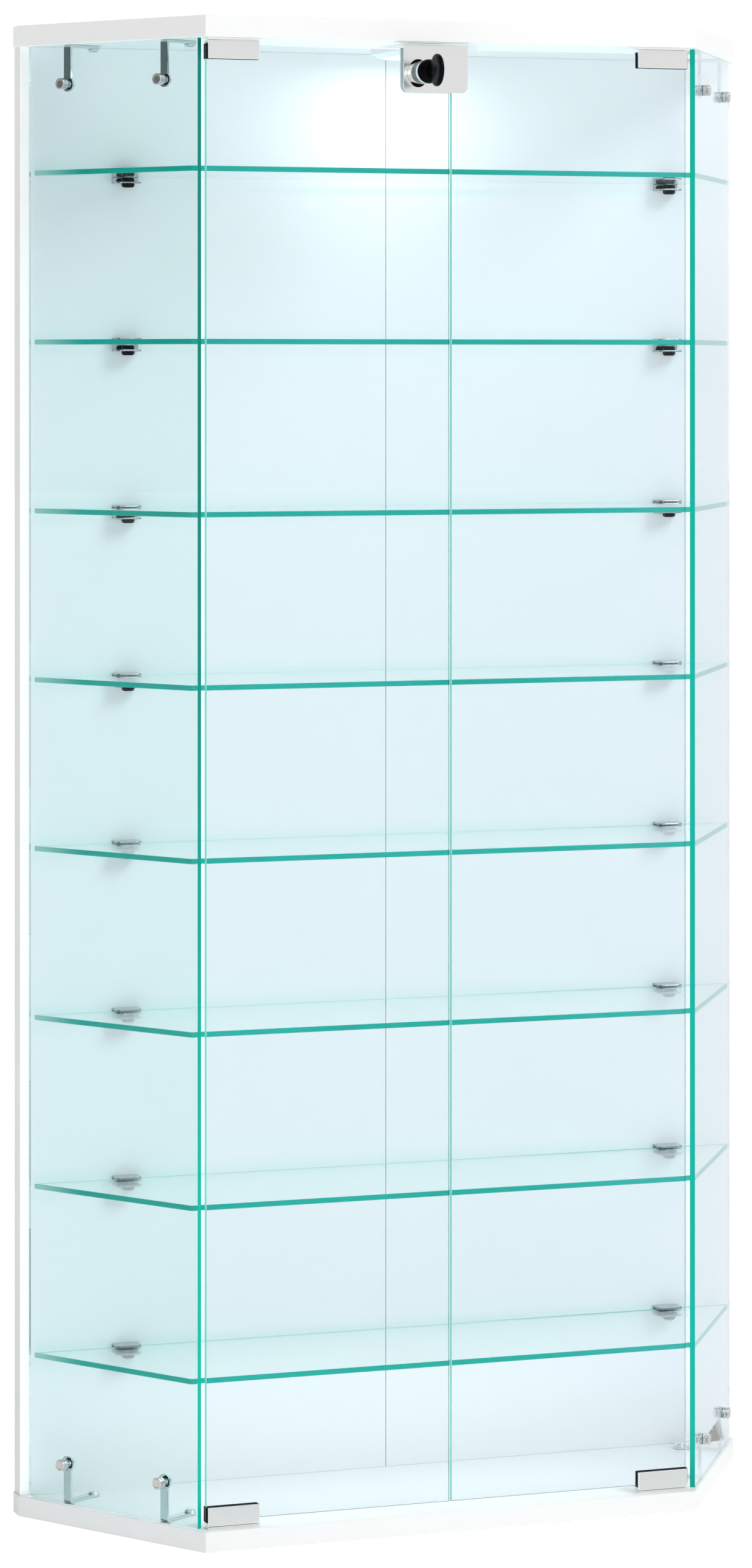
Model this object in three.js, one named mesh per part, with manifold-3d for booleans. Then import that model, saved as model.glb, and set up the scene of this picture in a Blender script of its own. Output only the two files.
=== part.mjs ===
// Wall-hung curio cabinet: two white boards and a two-part white back, slanted glass sides,
// eight glass shelves held in clamps, and a pair of hinged glass doors with a clip-on lock.
// Millimetres, +Z up, +Y towards the wall. The origin is the middle of the underside.
import * as THREE from "three";
import { mergeVertices } from "three/addons/utils/BufferGeometryUtils.js";
import Module from "manifold-3d";

// ---------------------------------------------------------------- driving dimensions
const HEIGHT = 1150;
const WIDTH = 600;
const DEPTH = 175;
const FRONT_WIDTH = 397;
const BOARD = 16;                     // thickness of the boards and of the back
const GLASS = 4;                      // thickness of every pane
const PANEL_INSET = 1;                // back panels stop this far inside the boards' ends
const PANEL_JOINT = 0.3;              // gap between the two back panels

const SIDE_INSET = 1.9;               // side glass behind the boards' slanted edge
const SIDE_START = 9.5;               // first edge of the side glass, along the slanted edge
const SIDE_LENGTH = 170;
const SIDE_CLEARANCE = 0.5;           // side glass to board, above and below

const DOOR_SETBACK = 10;              // front face of the doors, behind the boards' front edge
const DOOR_HALF_WIDTH = 195;
const DOOR_GAP = 1.5;                 // between the two doors
const DOOR_LIFT = 5.2;                // door glass to board, above and below

const SHELF_COUNT = 8;
const SHELF_TOP_FIRST = 1038;         // upper face of the highest shelf
const SHELF_PITCH = 130.1;
const SHELF_FRONT = 18.5;
const SHELF_BACK = 152;
const SHELF_INSET = 6.3;              // shelf ends behind the boards' slanted edge

const SHELF_CLAMP_X = [-213.5, 239];
const SHELF_CLAMP = {
  width: 21, depth: 14.5, cornerRadius: 5, sheet: 1.3, above: 1.5, below: 9.6,
  knobRadius: 5.1, knobChamfer: 1.2, knobSetback: 8.7, knobTop: 4.2, knobBottom: 12.1,
};

const BOLT_PLACES = [35.5, 133];      // bolt centres along the side glass
const BOLT_RISE = 30.5;               // bolt centre to board
const BOLT = { hole: 3, shank: 2.5, head: 4.4, headLength: 6, chamfer: 0.6, endLength: 2.2 };
const BRACKET = {
  sheet: 2.3, width: 7, gap: 0.3, footGap: 0.1, discRadius: 5.8, reach: 31, padRadius: 4.9,
  capRadius: 4.7, capHeight: 2.8, capShoulder: 0.5, capTop: 0.7,
};

const HINGE = {
  inner: 153.8, outer: 194.5, front: 6.6, back: 16.8, frontPlate: 2, backPlate: 1.6,
  baseThickness: 1.7, webStart: 2, webEnd: 4, plateEnd: 16, gasketEnd: 16.8, gasketOuter: 195.5,
  gasketSlack: 0.1,
};
const PIVOT = {
  x: 190, setback: 12, pin: 2.5, bush: 2.6, bushOuter: 4, boardHole: 4.3, pinDepth: 9, bushDepth: 10,
};

const LOCK = {
  left: -39.3, right: 12.2, doorEdge: -1.2, bottom: 1095.4, top: 1131.1, corner: 5,
  front: 5, sheet: 1.8, backFace: 14.3, x: -28, z: 1110,
};
const BARREL = { radius: 8.8, bore: 6.3, plug: 6.1, length: 23, plateHole: 6.4, plugGap: 0.2 };
const CAM = { front: 7.1, thickness: 2, width: 7, length: 28, hub: 5, screw: 2.5, screwHeight: 0.5 };
const CAM_SLOT = { left: -33, right: -6.5, front: 6.8, back: 9.6, depth: 6.5 };
const STRIKE = { left: -44, right: 13, front: 4.5, back: 14, thickness: 1 };
const KEY = {
  bladeThickness: 2.2, bladeHeight: 7, bladeLength: 20, bladeOverlap: 1, waySlack: 0.3, wayDepth: 21,
  collarRadius: 9.2, collarEnd: 5.5, collarStart: 23.4, collarLength: 6.6,
  collarRim: 1.5, collarShoulder: 3.3, shoulderRadius: 8.3,
  bow: 12.5, bowCentre: 42, bowThickness: 3.5, bowChamfer: 0.9,
};

const LAMP = {
  halfWidth: 31, front: 33, back: 107, side: 4.2, height: 7.4, bevel: 5.5, rim: 1,
  lensDepth: 2.9, lensGap: 0.3, inletRadius: 1.3, inletDepth: 5, inletDrop: 2.2,
};

const FIT_GAP = 0.3;                  // clearance round a piece set into a board
const OVERLAP = 0.5;                  // how far one joined shape runs into the next
const PAST = 1;                       // how far a cutting shape runs past the face it cuts
const MERGE = 1e-4;                   // corners closer than this are one corner

// ---------------------------------------------------------------- derived dimensions
const FRONT_HALF = FRONT_WIDTH / 2;
const SLANT_RUN = WIDTH / 2 - FRONT_HALF;
const SLANT_DEPTH = DEPTH - BOARD;
const SLANT_LENGTH = Math.hypot(SLANT_RUN, SLANT_DEPTH);
const ALONG_X = SLANT_RUN / SLANT_LENGTH;
const ALONG_Y = SLANT_DEPTH / SLANT_LENGTH;
const FLOOR = BOARD;                  // upper face of the bottom board
const CEILING = HEIGHT - BOARD;       // lower face of the top board
const SIDES = { left: -1, right: 1 };
const FACETS = { turning: 24, fixed: 16, knob: 10, lock: 32, bow: 40, arc: 6, smallArc: 3 };

const fromFront = (setback) => setback - DEPTH / 2;

// A point on the plan: `along` the slanted edge from its front corner, and `inward` from that edge.
function slantPoint(side, along, inward) {
  const x = FRONT_HALF + along * ALONG_X - inward * ALONG_Y;
  const y = fromFront(along * ALONG_Y + inward * ALONG_X);
  return [side * x, y];
}

// A height above the bottom board, or the same distance below the top board.
const fromBoard = (level, rise) => (level === "bottom" ? FLOOR + rise : CEILING - rise);

// ---------------------------------------------------------------- materials
const finish = (color, roughness, metalness) =>
  new THREE.MeshStandardMaterial({ color, roughness, metalness });
const whiteBoard = finish(0xf4f4f3, 0.4, 0);
const clearGlass = finish(0xcfe9e5, 0.05, 0);
const chrome = finish(0xd9dcdd, 0.08, 1);
const brushedSteel = finish(0xcfcfcf, 0.3, 1);
const blackRubber = finish(0x121414, 0.7, 0);
const blackPlastic = finish(0x17191a, 0.35, 0);
const lampPlastic = finish(0xf0f2f2, 0.4, 0);
const lampLens = finish(0xffffff, 0.3, 0);

// ---------------------------------------------------------------- solids
const wasm = await Module();
wasm.setup();

function solidOf(geometry) {
  const bare = geometry.clone();
  bare.deleteAttribute("normal");
  bare.deleteAttribute("uv");
  const merged = mergeVertices(bare, MERGE);
  const mesh = new wasm.Mesh({
    numProp: 3,
    vertProperties: new Float32Array(merged.attributes.position.array),
    triVerts: new Uint32Array(merged.index.array),
  });
  return new wasm.Manifold(mesh);
}

function geometryOf(solid) {
  const mesh = solid.getMesh();
  const geometry = new THREE.BufferGeometry();
  geometry.setAttribute("position", new THREE.BufferAttribute(new Float32Array(mesh.vertProperties), 3));
  geometry.setIndex(new THREE.BufferAttribute(new Uint32Array(mesh.triVerts), 1));
  geometry.computeVertexNormals();
  return geometry;
}

const join = (...parts) => parts.reduce((whole, part) => whole.add(part));
const cut = (body, ...tools) => tools.reduce((rest, tool) => rest.subtract(tool), body);

function box(x0, x1, y0, y1, z0, z1) {
  const geometry = new THREE.BoxGeometry(Math.abs(x1 - x0), Math.abs(y1 - y0), Math.abs(z1 - z0));
  geometry.translate((x0 + x1) / 2, (y0 + y1) / 2, (z0 + z1) / 2);
  return solidOf(geometry);
}

// A round bar about an axis parallel to x, y or z; `centre` is any point of that axis.
function bar(axis, radius, start, end, centre, facets = FACETS.turning) {
  const geometry = new THREE.CylinderGeometry(radius, radius, Math.abs(end - start), facets);
  if (axis === "x") geometry.rotateZ(Math.PI / 2);
  if (axis === "z") geometry.rotateX(Math.PI / 2);
  const middle = new THREE.Vector3(...centre);
  middle[axis] = (start + end) / 2;
  geometry.translate(middle.x, middle.y, middle.z);
  return solidOf(geometry);
}

// A turned piece: the profile lists [radius, distance] pairs from the axis round to the axis.
function turned(profile, facets = FACETS.turning) {
  const points = profile.map(([radius, distance]) => new THREE.Vector2(radius, distance));
  return new THREE.LatheGeometry(points, facets);
}

// An outline on the plan, raised from z0 to z1.
function plate(points, z0, z1) {
  const shape = new THREE.Shape(points.map(([x, y]) => new THREE.Vector2(x, y)));
  const geometry = new THREE.ExtrudeGeometry(shape, { depth: z1 - z0, bevelEnabled: false });
  geometry.translate(0, 0, z0);
  return solidOf(geometry);
}

// An outline seen from the front, given as a shape of (x, z), running back from y0 to y1.
function frontPlate(shape, y0, y1, curveSegments = FACETS.arc) {
  const geometry = new THREE.ExtrudeGeometry(shape, { depth: y1 - y0, bevelEnabled: false, curveSegments });
  geometry.rotateX(Math.PI / 2);
  geometry.translate(0, y1, 0);
  return solidOf(geometry);
}

const cabinet = new THREE.Group();

function addPiece(name, shape, material, parent = cabinet) {
  const geometry = shape instanceof THREE.BufferGeometry ? shape : geometryOf(shape);
  const mesh = new THREE.Mesh(geometry, material);
  mesh.name = name;
  parent.add(mesh);
  return mesh;
}

// ---------------------------------------------------------------- boards and back
function boardSolid(z0, z1) {
  const outline = [
    [-FRONT_HALF, fromFront(0)],
    [FRONT_HALF, fromFront(0)],
    [WIDTH / 2, fromFront(SLANT_DEPTH)],
    [WIDTH / 2, fromFront(DEPTH)],
    [-WIDTH / 2, fromFront(DEPTH)],
    [-WIDTH / 2, fromFront(SLANT_DEPTH)],
  ];
  return plate(outline, z0, z1);
}

function bushHoles(level) {
  const start = fromBoard(level, PAST);
  const end = fromBoard(level, -PIVOT.bushDepth - FIT_GAP);
  return Object.values(SIDES).map((side) =>
    bar("z", PIVOT.boardHole, start, end, [side * PIVOT.x, fromFront(PIVOT.setback), 0]));
}

function addBoardsAndBack() {
  const camPocket = box(CAM_SLOT.left, CAM_SLOT.right, fromFront(CAM_SLOT.front), fromFront(CAM_SLOT.back),
    CEILING - PAST, CEILING + CAM_SLOT.depth);
  addPiece("top_board", cut(boardSolid(CEILING, HEIGHT), ...bushHoles("top"), camPocket), whiteBoard);
  addPiece("bottom_board", cut(boardSolid(0, FLOOR), ...bushHoles("bottom")), whiteBoard);
  for (const [name, side] of Object.entries(SIDES)) {
    const panel = box(side * PANEL_JOINT / 2, side * (WIDTH / 2 - PANEL_INSET),
      fromFront(SLANT_DEPTH), fromFront(DEPTH), FLOOR, CEILING);
    addPiece(`back_panel_${name}`, panel, whiteBoard);
  }
}

// ---------------------------------------------------------------- side glass and its fixings
// Angle on the plan of the direction that points into the cabinet from a side glass.
const inwardAngle = (side) => Math.atan2(ALONG_X, -side * ALONG_Y);

function sideGlassSolid(side) {
  const z0 = FLOOR + SIDE_CLEARANCE;
  const z1 = CEILING - SIDE_CLEARANCE;
  const end = SIDE_START + SIDE_LENGTH;
  const corners = [
    slantPoint(side, SIDE_START, SIDE_INSET),
    slantPoint(side, end, SIDE_INSET),
    slantPoint(side, end, SIDE_INSET + GLASS),
    slantPoint(side, SIDE_START, SIDE_INSET + GLASS),
  ];
  const pane = plate(corners, z0, z1);
  const holes = [];
  for (const place of BOLT_PLACES) {
    for (const level of ["bottom", "top"]) {
      const hole = new THREE.CylinderGeometry(BOLT.hole, BOLT.hole, 3 * GLASS, FACETS.fixed);
      hole.rotateZ(Math.PI / 2);
      hole.rotateZ(inwardAngle(side));
      const [x, y] = slantPoint(side, SIDE_START + place, SIDE_INSET + GLASS / 2);
      hole.translate(x, y, fromBoard(level, BOLT_RISE));
      holes.push(solidOf(hole));
    }
  }
  return cut(pane, ...holes);
}

// An L bracket with its glass bolt and its foot screw's cap. Its own +X points into the cabinet from
// the inner face of the glass, and its origin is on the bolt's axis, above the foot.
function bracketSolid() {
  const { sheet, width, gap, reach, capRadius, capHeight, capShoulder, capTop } = BRACKET;
  const foot = -BOLT_RISE + BRACKET.footGap;
  const seat = foot + sheet;
  const upright = box(gap, gap + sheet, -width / 2, width / 2, foot, 0);
  const disc = bar("x", BRACKET.discRadius, gap, gap + sheet, [0, 0, 0], FACETS.fixed);
  const leg = box(gap, reach, -width / 2, width / 2, foot, seat);
  const pad = bar("z", BRACKET.padRadius, foot, seat, [reach, 0, 0], FACETS.fixed);
  const cap = turned([
    [0, seat - OVERLAP],
    [capRadius, seat - OVERLAP],
    [capRadius, seat + capShoulder * capHeight],
    [capTop * capRadius, seat + capHeight],
    [0, seat + capHeight],
  ], FACETS.fixed);
  cap.rotateX(Math.PI / 2);
  cap.translate(reach, 0, 0);
  return join(upright, disc, leg, pad, solidOf(cap), boltSolid());
}

function boltSolid() {
  const { head, headLength, chamfer, endLength, shank } = BOLT;
  const seat = GLASS + BRACKET.gap;
  const inner = BRACKET.gap + BRACKET.sheet;
  const profile = [
    [0, -seat - headLength],
    [head - chamfer, -seat - headLength],
    [head, -seat - headLength + chamfer],
    [head, -seat],
    [shank, -seat],
    [shank, inner + endLength],
    [0, inner + endLength],
  ];
  const bolt = turned(profile, FACETS.fixed);
  bolt.rotateZ(-Math.PI / 2);
  return solidOf(bolt);
}

function addSides() {
  const bracketGeometry = geometryOf(bracketSolid());
  for (const [name, side] of Object.entries(SIDES)) {
    addPiece(`side_glass_${name}`, sideGlassSolid(side), clearGlass);
    for (const level of ["top", "bottom"]) {
      BOLT_PLACES.forEach((place, index) => {
        const where = index === 0 ? "front" : "rear";
        const bracket = addPiece(`side_bracket_${level}_${name}_${where}`, bracketGeometry, chrome);
        const [x, y] = slantPoint(side, SIDE_START + place, SIDE_INSET + GLASS);
        bracket.position.set(x, y, fromBoard(level, BOLT_RISE));
        bracket.rotation.set(level === "top" ? Math.PI : 0, 0, inwardAngle(side), "ZXY");
      });
    }
  }
}

// ---------------------------------------------------------------- shelves and their clamps
function shelfOutline() {
  const endAt = (setback) => FRONT_HALF + (setback * ALONG_X - SHELF_INSET) / ALONG_Y;
  return [
    [-endAt(SHELF_FRONT), fromFront(SHELF_FRONT)],
    [endAt(SHELF_FRONT), fromFront(SHELF_FRONT)],
    [endAt(SHELF_BACK), fromFront(SHELF_BACK)],
    [-endAt(SHELF_BACK), fromFront(SHELF_BACK)],
  ];
}

// A C-shaped clamp on the back panel with its black screw knob. Its origin is on the panel's face,
// level with the upper face of the shelf.
function shelfClampSolid() {
  const { width, depth, cornerRadius, sheet, above, below } = SHELF_CLAMP;
  const arcX = width / 2 - cornerRadius;
  const arcY = -depth + cornerRadius;
  const outline = new THREE.Shape();
  outline.moveTo(-width / 2, 0);
  outline.lineTo(-width / 2, arcY);
  outline.absarc(-arcX, arcY, cornerRadius, Math.PI, 1.5 * Math.PI, false);
  outline.absarc(arcX, arcY, cornerRadius, 1.5 * Math.PI, 2 * Math.PI, false);
  outline.lineTo(width / 2, 0);
  const cheek = (z0) => {
    const settings = { depth: sheet, bevelEnabled: false, curveSegments: FACETS.smallArc };
    const geometry = new THREE.ExtrudeGeometry(outline, settings);
    geometry.translate(0, 0, z0);
    return solidOf(geometry);
  };
  const spine = box(-width / 2, width / 2, -sheet, 0, -below, above);
  const { knobRadius, knobChamfer, knobSetback, knobTop, knobBottom } = SHELF_CLAMP;
  const knob = turned([
    [0, -knobBottom],
    [knobRadius - knobChamfer, -knobBottom],
    [knobRadius, -knobBottom + knobChamfer],
    [knobRadius, -knobTop - knobChamfer],
    [knobRadius - knobChamfer, -knobTop],
    [0, -knobTop],
  ], FACETS.knob);
  knob.rotateX(Math.PI / 2);
  knob.translate(0, -knobSetback, 0);
  return join(cheek(above - sheet), cheek(-below), spine, solidOf(knob));
}

function addShelves() {
  const clampGeometry = geometryOf(shelfClampSolid());
  for (let index = 0; index < SHELF_COUNT; index += 1) {
    const top = SHELF_TOP_FIRST - index * SHELF_PITCH;
    addPiece(`shelf_${index + 1}`, plate(shelfOutline(), top - GLASS, top), clearGlass);
    SHELF_CLAMP_X.forEach((x) => {
      const clamp = addPiece(`shelf_clamp_${index + 1}_${x < 0 ? "left" : "right"}`, clampGeometry, chrome);
      clamp.position.set(x, fromFront(SLANT_DEPTH), top);
    });
  }
}

// ---------------------------------------------------------------- doors and hinges
function hingeClampSolid(side, level) {
  const across = [side * HINGE.inner, side * HINGE.outer];
  const rise = (h) => fromBoard(level, h);
  const wall = (front, back, start, end) =>
    box(...across, fromFront(front), fromFront(back), rise(start), rise(end));
  const pin = bar("z", PIVOT.pin, rise(HINGE.webEnd - OVERLAP), rise(-PIVOT.pinDepth),
    [side * PIVOT.x, fromFront(PIVOT.setback), 0]);
  return join(
    wall(HINGE.front, HINGE.front + HINGE.frontPlate, HINGE.webStart, HINGE.plateEnd),
    wall(HINGE.front, HINGE.back, HINGE.webStart, HINGE.webEnd),
    wall(HINGE.back - HINGE.backPlate, HINGE.back, HINGE.webStart, HINGE.plateEnd),
    pin,
  );
}

function hingeGasketSolid(side, level) {
  const slack = HINGE.gasketSlack;
  const rise = (h) => fromBoard(level, h);
  const outside = box(side * HINGE.inner, side * HINGE.gasketOuter,
    fromFront(HINGE.front + HINGE.frontPlate + slack), fromFront(HINGE.back - HINGE.backPlate - slack),
    rise(HINGE.webEnd + slack), rise(HINGE.gasketEnd));
  const pocket = box(side * (HINGE.inner - PAST), side * (DOOR_HALF_WIDTH + slack),
    fromFront(DOOR_SETBACK - slack), fromFront(DOOR_SETBACK + GLASS + slack),
    rise(DOOR_LIFT - slack), rise(HINGE.gasketEnd + PAST));
  return cut(outside, pocket);
}

// The strip screwed to the board, with the bush that the pin turns in.
function hingeBaseSolid(side, level) {
  const rise = (h) => fromBoard(level, h);
  const axis = [side * PIVOT.x, fromFront(PIVOT.setback), 0];
  const strip = box(side * HINGE.inner, side * HINGE.outer, fromFront(HINGE.front), fromFront(HINGE.back),
    rise(0), rise(HINGE.baseThickness));
  const bush = bar("z", PIVOT.bushOuter, rise(HINGE.baseThickness / 2), rise(-PIVOT.bushDepth), axis);
  const bore = bar("z", PIVOT.bush, rise(HINGE.baseThickness + PAST), rise(-PIVOT.bushDepth - PAST), axis);
  return cut(join(strip, bush), bore);
}

function addDoors() {
  for (const [name, side] of Object.entries(SIDES)) {
    const pane = box(side * DOOR_GAP / 2, side * DOOR_HALF_WIDTH,
      fromFront(DOOR_SETBACK), fromFront(DOOR_SETBACK + GLASS), FLOOR + DOOR_LIFT, CEILING - DOOR_LIFT);
    addPiece(`door_glass_${name}`, pane, clearGlass);
    for (const level of ["top", "bottom"]) {
      addPiece(`hinge_clamp_${level}_${name}`, hingeClampSolid(side, level), brushedSteel);
      addPiece(`hinge_gasket_${level}_${name}`, hingeGasketSolid(side, level), blackRubber);
      addPiece(`hinge_base_${level}_${name}`, hingeBaseSolid(side, level), chrome);
    }
  }
}

// ---------------------------------------------------------------- lock and key
// A rectangle seen from the front whose lower corners are rounded.
function skirtShape(left, right, bottom, top, radius, roundRight) {
  const shape = new THREE.Shape();
  shape.moveTo(left, top);
  shape.lineTo(left, bottom + radius);
  shape.absarc(left + radius, bottom + radius, radius, Math.PI, 1.5 * Math.PI, false);
  if (roundRight) {
    shape.absarc(right - radius, bottom + radius, radius, 1.5 * Math.PI, 2 * Math.PI, false);
  } else {
    shape.lineTo(right, bottom);
  }
  shape.lineTo(right, top);
  return shape;
}

// The clip that straddles the top edge of the left door, its front leaf lapping over the right door.
function lockPlateSolid() {
  const { left, right, doorEdge, bottom, top, corner, front, sheet, backFace } = LOCK;
  const frontLeaf = frontPlate(skirtShape(left, right, bottom, top, corner, true),
    fromFront(front), fromFront(front + sheet));
  const backLeaf = frontPlate(skirtShape(left, doorEdge, bottom, top, corner, false),
    fromFront(backFace), fromFront(backFace + sheet));
  const bridge = box(left, doorEdge, fromFront(front), fromFront(backFace + sheet), top - sheet, top);
  const slot = box(CAM_SLOT.left, CAM_SLOT.right, fromFront(CAM_SLOT.front), fromFront(CAM_SLOT.back),
    top - sheet - PAST, top + PAST);
  const hole = bar("y", BARREL.plateHole, fromFront(front - PAST), fromFront(front + sheet + PAST),
    [LOCK.x, 0, LOCK.z], FACETS.lock);
  return cut(join(frontLeaf, backLeaf, bridge), slot, hole);
}

function addLock() {
  const axis = [LOCK.x, 0, LOCK.z];
  const face = fromFront(LOCK.front);
  const barrelEnd = face - BARREL.length;
  addPiece("lock_plate", lockPlateSolid(), brushedSteel);

  const sleeve = bar("y", BARREL.radius, barrelEnd, face, axis, FACETS.lock);
  const bore = bar("y", BARREL.bore, barrelEnd - PAST, face + PAST, axis, FACETS.lock);
  addPiece("lock_barrel", cut(sleeve, bore), chrome);

  const plug = bar("y", BARREL.plug, barrelEnd, fromFront(CAM.front) - BARREL.plugGap, axis, FACETS.lock);
  const halfWay = KEY.bladeThickness / 2 + KEY.waySlack;
  const halfHigh = KEY.bladeHeight / 2 + KEY.waySlack;
  const keyway = box(LOCK.x - halfWay, LOCK.x + halfWay, barrelEnd - PAST, barrelEnd + KEY.wayDepth,
    LOCK.z - halfHigh, LOCK.z + halfHigh);
  addPiece("lock_plug", cut(plug, keyway), brushedSteel);
  addPiece("lock_cam", camSolid(axis), chrome);
  addPiece("key", keySolid(face), blackPlastic);
  addPiece("strike_plate", strikeSolid(), brushedSteel);
}

// The flat tongue on the plug's tail. It lies towards +X when unlocked and stands up when locked.
function camSolid(axis) {
  const tip = CAM.width / 2;
  const tongue = new THREE.Shape();
  tongue.moveTo(LOCK.x, LOCK.z - tip);
  tongue.lineTo(LOCK.x + CAM.length - tip, LOCK.z - tip);
  tongue.absarc(LOCK.x + CAM.length - tip, LOCK.z, tip, -Math.PI / 2, Math.PI / 2, false);
  tongue.lineTo(LOCK.x, LOCK.z + tip);
  const front = fromFront(CAM.front);
  const back = front + CAM.thickness;
  return join(
    frontPlate(tongue, front, back),
    bar("y", CAM.hub, front, back, axis),
    bar("y", CAM.screw, back - OVERLAP, back + CAM.screwHeight, axis),
  );
}

// The key in its keyway: a flat blade, a round collar against the barrel and a round upright bow.
function keySolid(face) {
  const collarFront = face - KEY.collarStart;
  const bladeStart = collarFront - KEY.bladeOverlap;
  const blade = box(LOCK.x - KEY.bladeThickness / 2, LOCK.x + KEY.bladeThickness / 2,
    bladeStart, bladeStart + KEY.bladeLength,
    LOCK.z - KEY.bladeHeight / 2, LOCK.z + KEY.bladeHeight / 2);
  const collar = turned([
    [0, 0],
    [KEY.collarRadius, 0],
    [KEY.collarRadius, KEY.collarRim],
    [KEY.shoulderRadius, KEY.collarShoulder],
    [KEY.collarEnd, KEY.collarLength],
    [0, KEY.collarLength],
  ]);
  collar.rotateX(Math.PI);
  collar.translate(LOCK.x, collarFront, LOCK.z);
  const half = KEY.bowThickness / 2;
  const bow = turned([
    [0, -half],
    [KEY.bow - KEY.bowChamfer, -half],
    [KEY.bow, -half + KEY.bowChamfer],
    [KEY.bow, half - KEY.bowChamfer],
    [KEY.bow - KEY.bowChamfer, half],
    [0, half],
  ], FACETS.bow);
  bow.rotateZ(Math.PI / 2);
  bow.translate(LOCK.x, face - KEY.bowCentre, LOCK.z);
  return join(blade, solidOf(collar), solidOf(bow));
}

// The thin plate under the top board, with the slot that the cam rises through.
function strikeSolid() {
  const strip = box(STRIKE.left, STRIKE.right, fromFront(STRIKE.front), fromFront(STRIKE.back),
    CEILING - STRIKE.thickness, CEILING);
  const slot = box(CAM_SLOT.left, CAM_SLOT.right, fromFront(CAM_SLOT.front), fromFront(CAM_SLOT.back),
    CEILING - STRIKE.thickness - PAST, CEILING + PAST);
  return cut(strip, slot);
}

// ---------------------------------------------------------------- lamp
// A flat downlight under the top board: a shell with bevelled lower edges and a lens in its recess.
function addLamp() {
  const { halfWidth, front, back, side, height, bevel, rim, lensDepth, lensGap } = LAMP;
  const middle = fromFront((front + back) / 2);
  const halfLength = (back - front) / 2;
  const profile = (half) => new THREE.Shape([
    new THREE.Vector2(-half, CEILING),
    new THREE.Vector2(-half, CEILING - side),
    new THREE.Vector2(-half + bevel, CEILING - height),
    new THREE.Vector2(half - bevel, CEILING - height),
    new THREE.Vector2(half, CEILING - side),
    new THREE.Vector2(half, CEILING),
  ]);
  const lengthwise = frontPlate(profile(halfWidth), middle - halfLength, middle + halfLength);
  const width = 2 * halfWidth;
  const crosswise = new THREE.ExtrudeGeometry(profile(halfLength), { depth: width, bevelEnabled: false });
  crosswise.rotateX(Math.PI / 2);
  crosswise.translate(0, halfWidth, 0);
  crosswise.rotateZ(Math.PI / 2);
  crosswise.translate(0, middle, 0);
  const shell = lengthwise.intersect(solidOf(crosswise));

  const openX = halfWidth - bevel - rim;
  const openY = halfLength - bevel - rim;
  const face = CEILING - height;
  const recess = box(-openX, openX, middle - openY, middle + openY, face - PAST, face + lensDepth);
  const inlet = bar("y", LAMP.inletRadius, fromFront(back) - LAMP.inletDepth, fromFront(back) + PAST,
    [0, 0, CEILING - LAMP.inletDrop], FACETS.fixed);
  addPiece("lamp_housing", cut(shell, recess, inlet), lampPlastic);

  const lens = box(-openX + lensGap, openX - lensGap, middle - openY + lensGap, middle + openY - lensGap,
    face, face + lensDepth - lensGap);
  addPiece("lamp_lens", lens, lampLens);
}

addBoardsAndBack();
addSides();
addShelves();
addDoors();
addLock();
addLamp();

export default cabinet;
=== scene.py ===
"""A glass curio cabinet: its pieces, materials, studio light and camera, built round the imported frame."""

import math

import bmesh
import bpy
from mathutils import Matrix, Vector


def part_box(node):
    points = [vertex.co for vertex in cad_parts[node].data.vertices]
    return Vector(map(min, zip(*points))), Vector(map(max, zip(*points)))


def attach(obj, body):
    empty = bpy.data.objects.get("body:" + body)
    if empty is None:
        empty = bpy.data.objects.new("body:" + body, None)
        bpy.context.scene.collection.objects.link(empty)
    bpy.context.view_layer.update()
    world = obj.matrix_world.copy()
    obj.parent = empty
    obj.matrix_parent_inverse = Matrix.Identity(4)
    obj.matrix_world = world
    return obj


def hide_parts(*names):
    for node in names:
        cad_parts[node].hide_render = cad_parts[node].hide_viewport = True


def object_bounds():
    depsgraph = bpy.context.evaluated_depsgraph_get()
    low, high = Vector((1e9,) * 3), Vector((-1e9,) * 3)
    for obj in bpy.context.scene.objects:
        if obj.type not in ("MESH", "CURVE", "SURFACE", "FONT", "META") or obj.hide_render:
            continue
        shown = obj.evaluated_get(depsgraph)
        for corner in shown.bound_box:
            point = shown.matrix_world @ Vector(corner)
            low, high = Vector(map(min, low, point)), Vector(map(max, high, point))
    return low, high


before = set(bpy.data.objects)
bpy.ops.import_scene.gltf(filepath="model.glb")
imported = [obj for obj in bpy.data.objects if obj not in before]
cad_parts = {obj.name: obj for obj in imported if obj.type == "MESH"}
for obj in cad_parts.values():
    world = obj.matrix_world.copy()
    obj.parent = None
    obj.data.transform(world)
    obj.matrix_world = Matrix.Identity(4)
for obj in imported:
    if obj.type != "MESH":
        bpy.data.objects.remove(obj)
cad_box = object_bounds()

# ---------------------------------------------------------------- sizes, in metres
MM = 0.001
HALF_DEPTH = 87.5 * MM               # front edge of the boards to the middle of the depth
HALF_WIDTH = 300 * MM
FRONT_HALF = 198.5 * MM              # half the boards' straight front edge
BOARD = 16 * MM
GLASS = 4 * MM
SIDES = {"left": -1, "right": 1}
LEVELS = ("top", "bottom")

SIDE_START = 9.5 * MM                # front edge of a side pane, along the slanted edge
SIDE_INSET = 1.9 * MM
BOLT_PLACES = {"front": 35.5 * MM, "rear": 133 * MM}
BOLT_RISE = 30.5 * MM                # bolt axis to board
BRACKET = {
    "sheet": 2.3 * MM, "width": 7 * MM, "gap": 0.3 * MM, "reach": 31 * MM,
    "disc": 5.8 * MM, "pad": 4.9 * MM,
    "outer_bend": 2.6 * MM, "inner_bend": 0.9 * MM, "rounding": 0.35 * MM,
}
FOOT_GAP = 0.1 * MM                  # bracket's foot to the board
WASHER = {"bore": 2.6 * MM, "radius": 4.15 * MM, "from_glass": 0.3 * MM, "thickness": 0.2 * MM}
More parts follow.
